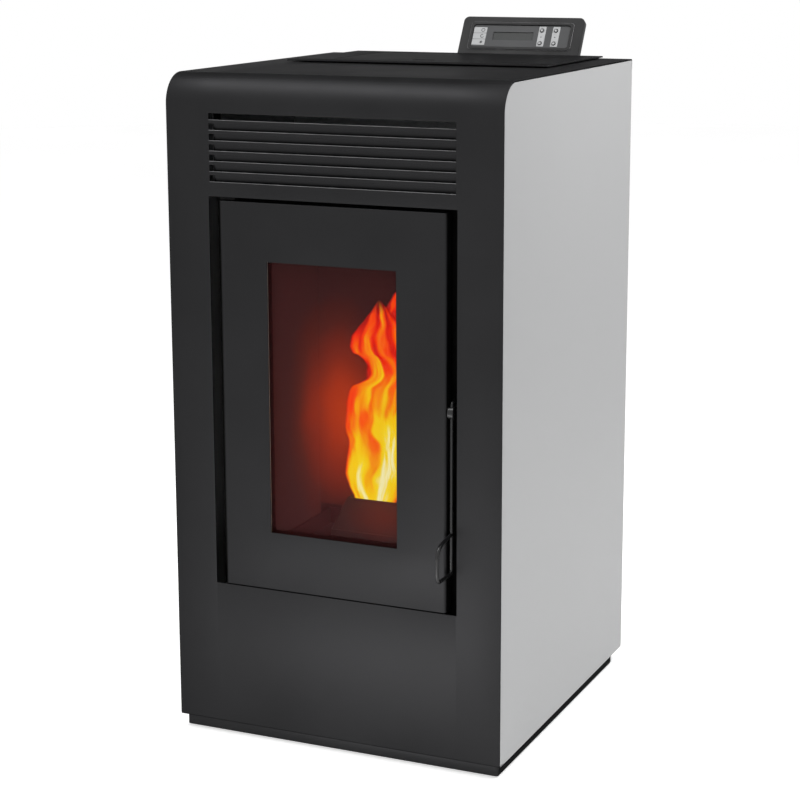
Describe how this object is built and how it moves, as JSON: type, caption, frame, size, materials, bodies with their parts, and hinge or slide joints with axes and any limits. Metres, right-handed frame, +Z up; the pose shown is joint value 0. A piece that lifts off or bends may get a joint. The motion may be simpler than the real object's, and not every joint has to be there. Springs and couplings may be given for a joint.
{
  "type": "pellet stove",
  "caption": "Free-standing wood-pellet room heater: folded sheet casing, hinged glass fire door with wire handle, top hopper lid, screw feed, smoke and room fans, tilted console",
  "frame": {"origin": "on the floor under the middle of the casing, which is also the centre of the overall box in X and Y", "axes": "+Z up, +Y to the back with the flue and air spigots, +X to the viewer's right, so the fire door faces -Y and its handle is on the +X side"},
  "size_m": [0.473, 0.588, 0.9554],
  "materials": {
    "black_paint": "satin black stoving paint on folded steel sheet",
    "silver_paint": "satin silver-grey paint on folded steel sheet",
    "stove_paint": "matt heat-proof black paint on welded steel",
    "zinc_sheet": "dull galvanised sheet",
    "cast_iron": "rough cast",
    "firebrick": "pressed refractory board, matt, brown-red",
    "rope_fibre": "knitted glass-fibre rope",
    "black_rubber": "matt moulded rubber",
    "black_plastic": "fine-grained moulded plastic",
    "dark_plastic": "satin dark grey moulded plastic",
    "display_plastic": "glossy smoked display cover",
    "pale_plastic": "light grey moulded plastic",
    "fire_glass": "clear ceramic glass, slightly browned"
  },
  "bodies": {
    "casing": {"front_shell": "black_paint", "side_panel_left": "silver_paint", "side_panel_right": "silver_paint", "back_panel": "zinc_sheet", "base_tray": "black_paint", "levelling_foot_1": "black_rubber", "levelling_foot_2": "black_rubber", "levelling_foot_3": "black_rubber", "levelling_foot_4": "black_rubber", "top_cover": "black_paint", "air_grille": "black_paint", "air_hood": "zinc_sheet", "firebox": "stove_paint", "firebox_stand": "zinc_sheet", "firebox_back_plate": "firebrick", "firebox_side_plate_left": "firebrick", "firebox_side_plate_right": "firebrick", "baffle_plate": "firebrick", "pot_carrier": "stove_paint", "ash_pan": "zinc_sheet", "igniter": "zinc_sheet", "auger_tube": "zinc_sheet", "gear_motor": "cast_iron", "pellet_chute": "zinc_sheet", "hopper": "zinc_sheet", "hopper_guard": "zinc_sheet", "lid_seal": "black_rubber", "hinge_bracket_top": "stove_paint", "hinge_bracket_bottom": "stove_paint", "latch_catch": "stove_paint", "smoke_duct": "zinc_sheet", "smoke_fan_housing": "zinc_sheet", "smoke_fan_motor": "cast_iron", "flue_pipe": "zinc_sheet", "blower_housing": "zinc_sheet", "blower_motor": "cast_iron", "air_intake_pipe": "zinc_sheet", "console_housing": "dark_plastic", "control_fascia": "dark_plastic", "display_window": "display_plastic", "control_board_box": "pale_plastic", "power_inlet": "black_plastic"},
    "door": {"door_panel": "black_paint", "door_frame": "stove_paint", "door_glass": "fire_glass", "glass_gasket": "rope_fibre", "glass_retainer": "zinc_sheet", "door_gasket": "rope_fibre"},
    "handle": {"handle_lever": "black_paint"},
    "lid": {"hopper_lid": "black_paint"},
    "pot": {"burn_pot": "cast_iron"},
    "screw": {"auger_screw": "cast_iron"},
    "smoke_wheel": {"smoke_fan_wheel": "zinc_sheet"},
    "room_wheel": {"blower_wheel": "zinc_sheet"},
    "key_1": {"button_1": "pale_plastic"},
    "key_2": {"button_2": "pale_plastic"},
    "key_3": {"button_3": "pale_plastic"},
    "key_4": {"button_4": "pale_plastic"},
    "rocker": {"power_rocker": "black_plastic"}
  },
  "joints": [
    {"name": "door_hinge", "type": "hinge", "parent": "casing", "child": "door", "pos_m": [-0.15075, -0.238, 0.477], "axis": [0, 0, -1], "range_deg": [0, 100]},
    {"name": "handle_turn", "type": "hinge", "parent": "door", "child": "handle", "pos_m": [0.16536, -0.243, 0.482], "axis": [-1, 0, 0], "range_deg": [0, 40]},
    {"name": "lid_hinge", "type": "hinge", "parent": "casing", "child": "lid", "pos_m": [0, 0.222, 0.8935], "axis": [-1, 0, 0], "range_deg": [0, 80]},
    {"name": "pot_lift", "type": "slide", "parent": "casing", "child": "pot", "axis": [0, 0, 1], "range_m": [0, 0.03]},
    {"name": "auger_turn", "type": "hinge", "parent": "casing", "child": "screw", "pos_m": [0, 0.17102, 0.31326], "axis": [0, -0.6157, 0.788], "continuous": true},
    {"name": "smoke_fan_turn", "type": "hinge", "parent": "casing", "child": "smoke_wheel", "pos_m": [-0.121, 0.078, 0.115], "axis": [0, 1, 0], "continuous": true},
    {"name": "blower_turn", "type": "hinge", "parent": "casing", "child": "room_wheel", "pos_m": [0.112, 0.154, 0.096], "axis": [1, 0, 0], "continuous": true},
    {"name": "button_1_press", "type": "slide", "parent": "casing", "child": "key_1", "axis": [0, 0.866, -0.5], "range_m": [0, 0.001], "stiffness_N_per_m": 600},
    {"name": "button_2_press", "type": "slide", "parent": "casing", "child": "key_2", "axis": [0, 0.866, -0.5], "range_m": [0, 0.001], "stiffness_N_per_m": 600},
    {"name": "button_3_press", "type": "slide", "parent": "casing", "child": "key_3", "axis": [0, 0.866, -0.5], "range_m": [0, 0.001], "stiffness_N_per_m": 600},
    {"name": "button_4_press", "type": "slide", "parent": "casing", "child": "key_4", "axis": [0, 0.866, -0.5], "range_m": [0, 0.001], "stiffness_N_per_m": 600},
    {"name": "rocker_tilt", "type": "hinge", "parent": "casing", "child": "rocker", "pos_m": [0.17, 0.247, 0.118], "axis": [1, 0, 0], "range_deg": [-8, 8]}
  ]
}
